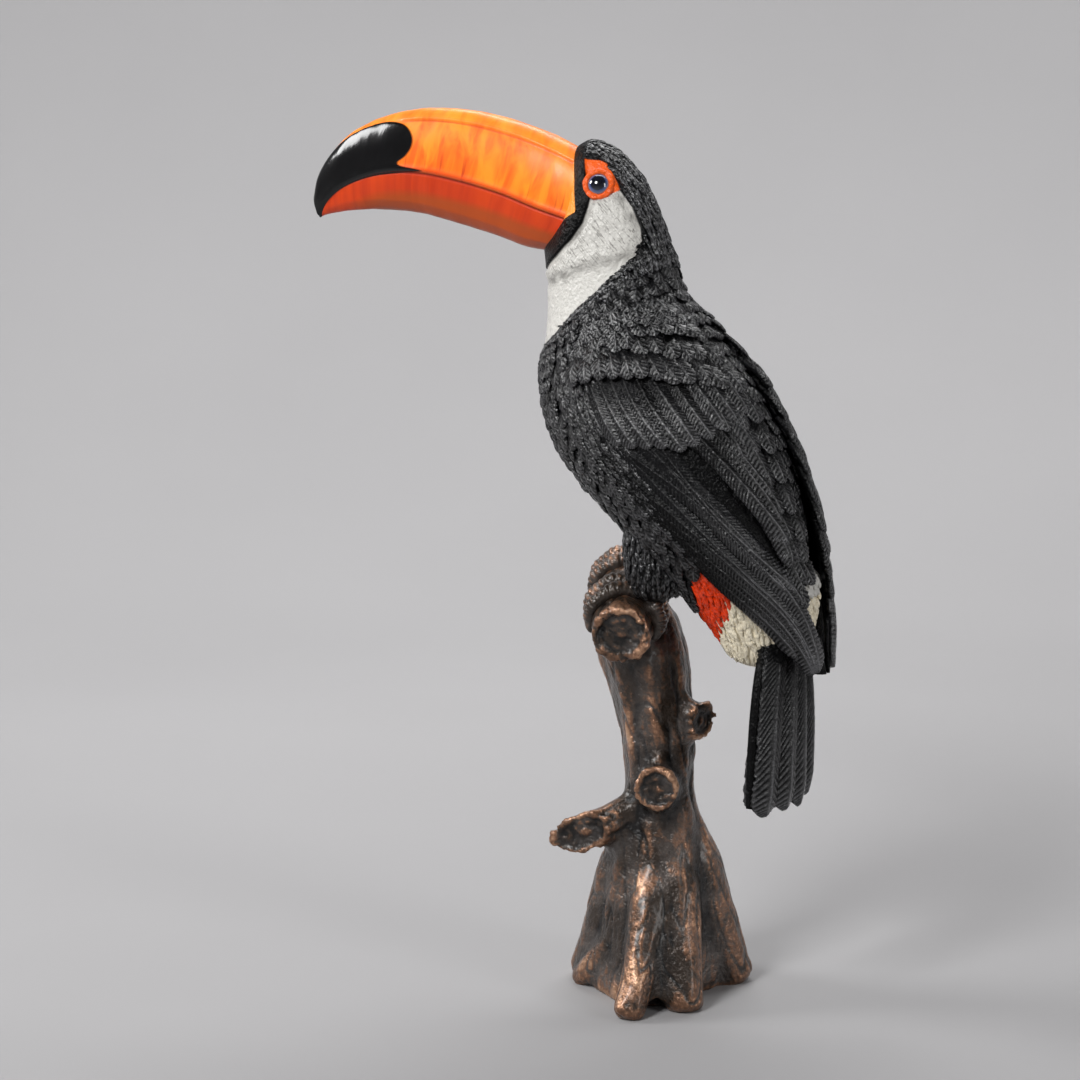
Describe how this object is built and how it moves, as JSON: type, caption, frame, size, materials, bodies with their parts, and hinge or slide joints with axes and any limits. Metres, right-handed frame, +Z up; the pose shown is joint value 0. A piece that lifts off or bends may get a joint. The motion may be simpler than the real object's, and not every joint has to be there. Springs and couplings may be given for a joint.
{
  "type": "toucan statue",
  "caption": "Perched toucan ornament with a long curved bill, feathered body and hanging tail, gripping the short perch of a rooted tree stump with broken side branches.",
  "frame": {"origin": "middle of the stump's flat underside, on the surface that the statue stands on", "axes": "+Z up; the bird looks along -Y; +X is the bird's left"},
  "size_m": [0.1223, 0.3365, 0.4992],
  "materials": {
    "toucan": "satin painted cast polyresin: black plumage, white throat and rump, orange bill with a black tip",
    "stump": "cast polyresin painted dark brown with copper-bronze brushed over its raised bark",
    "eye_left": "glossy painted dome",
    "eye_right": "glossy painted dome"
  },
  "bodies": {
    "root": {"toucan": "toucan", "stump": "stump", "eye_left": "eye_left", "eye_right": "eye_right"}
  },
  "joints": []
}
